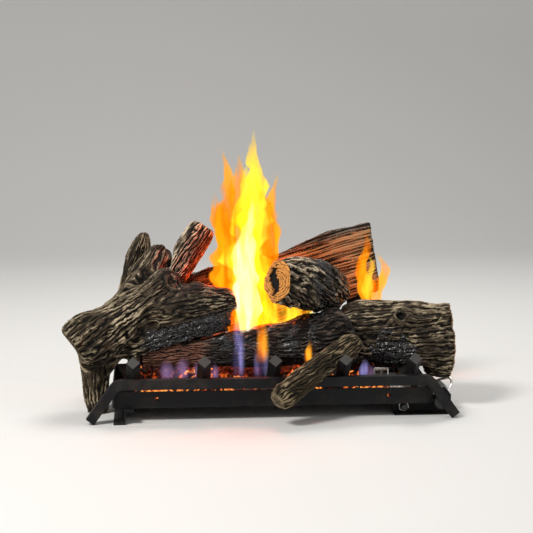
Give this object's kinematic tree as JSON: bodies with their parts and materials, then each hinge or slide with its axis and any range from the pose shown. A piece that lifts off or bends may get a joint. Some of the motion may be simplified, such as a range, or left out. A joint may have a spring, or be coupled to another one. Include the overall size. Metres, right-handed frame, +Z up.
{
  "type": "gas log set",
  "caption": "Ceramic driftwood logs stacked on a black steel bar grate over a gas burner pan with glowing embers, a pilot, a turning control knob and a push igniter.",
  "frame": {"origin": "middle of the outer box at hearth level, where the feet stand", "axes": "+X to the right along the grate, +Y to the back of the fireplace, +Z up"},
  "size_m": [0.5961, 0.3264, 0.2795],
  "materials": {
    "black_steel": "matt heat-proof black paint",
    "bark": "rough moulded bark, tan ridges over dark cracks",
    "char": "charred black, with small shiny facets",
    "ember_glow": "crumbled embers that glow",
    "burner_steel": "heat-stained steel",
    "brass": "machined",
    "cast_aluminium": "die cast, satin",
    "bright_aluminium": "soft bright tube",
    "black_plastic": "moulded, satin",
    "white_ceramic": "glazed insulator",
    "zinc_steel": "zinc plated"
  },
  "bodies": {
    "set": {"grate_front_bar": "black_steel", "grate_rear_bar": "black_steel", "grate_cross_bar_1": "black_steel", "grate_cross_bar_2": "black_steel", "grate_cross_bar_3": "black_steel", "grate_cross_bar_4": "black_steel", "grate_cross_bar_5": "black_steel", "rear_log_post_1": "black_steel", "rear_log_post_2": "black_steel", "burner_pan": "black_steel", "left_support_plate": "black_steel", "right_support_plate": "black_steel", "control_bracket": "black_steel", "left_front_log": "bark", "left_rear_log": "bark", "right_front_log": "bark", "rear_log": "bark", "middle_charred_log": "char", "front_ember_bed": "ember_glow", "rear_ember_bed": "ember_glow", "front_burner_tube": "burner_steel", "rear_burner_tube": "burner_steel", "gas_manifold": "burner_steel", "pilot_hood": "burner_steel", "front_injector": "brass", "rear_injector": "brass", "inlet_fitting": "brass", "control_valve_body": "cast_aluminium", "regulator_body": "cast_aluminium", "feed_pipe": "cast_aluminium", "pilot_tube": "bright_aluminium", "igniter_body": "black_plastic", "regulator_cap": "black_plastic", "spark_electrode": "white_ceramic", "igniter_nut": "zinc_steel", "pilot_bracket": "zinc_steel", "thermocouple": "zinc_steel", "bracket_screw": "zinc_steel", "pan_screw_1": "zinc_steel", "pan_screw_2": "zinc_steel", "pan_screw_3": "zinc_steel", "pan_screw_4": "zinc_steel"},
    "stem": {"control_stem": "zinc_steel"},
    "knob": {"control_knob": "black_plastic"},
    "button": {"igniter_button": "black_plastic"},
    "top_branch": {"top_branch": "bark"},
    "centre_log": {"centre_split_log": "bark"},
    "twig": {"front_twig": "bark"}
  },
  "joints": [
    {"name": "knob_push", "type": "slide", "parent": "set", "child": "stem", "axis": [0, 1, 0], "range_m": [0, 0.004], "stiffness_N_per_m": 800},
    {"name": "knob_turn", "type": "hinge", "parent": "stem", "child": "knob", "pos_m": [0.2652, -0.085, 0.02], "axis": [0, -1, 0], "range_deg": [0, 180]},
    {"name": "igniter_push", "type": "slide", "parent": "set", "child": "button", "axis": [0, 1, 0], "range_m": [0, 0.006], "stiffness_N_per_m": 1000},
    {"name": "top_branch_lift", "type": "slide", "parent": "set", "child": "top_branch", "axis": [0.5896, 0.2438, 0.77], "range_m": [0, 0.12]},
    {"name": "centre_log_lift", "type": "slide", "parent": "set", "child": "centre_log", "axis": [0, 0, 1], "range_m": [0, 0.12]},
    {"name": "twig_lift", "type": "slide", "parent": "set", "child": "twig", "axis": [0, 0, 1], "range_m": [0, 0.12]}
  ]
}
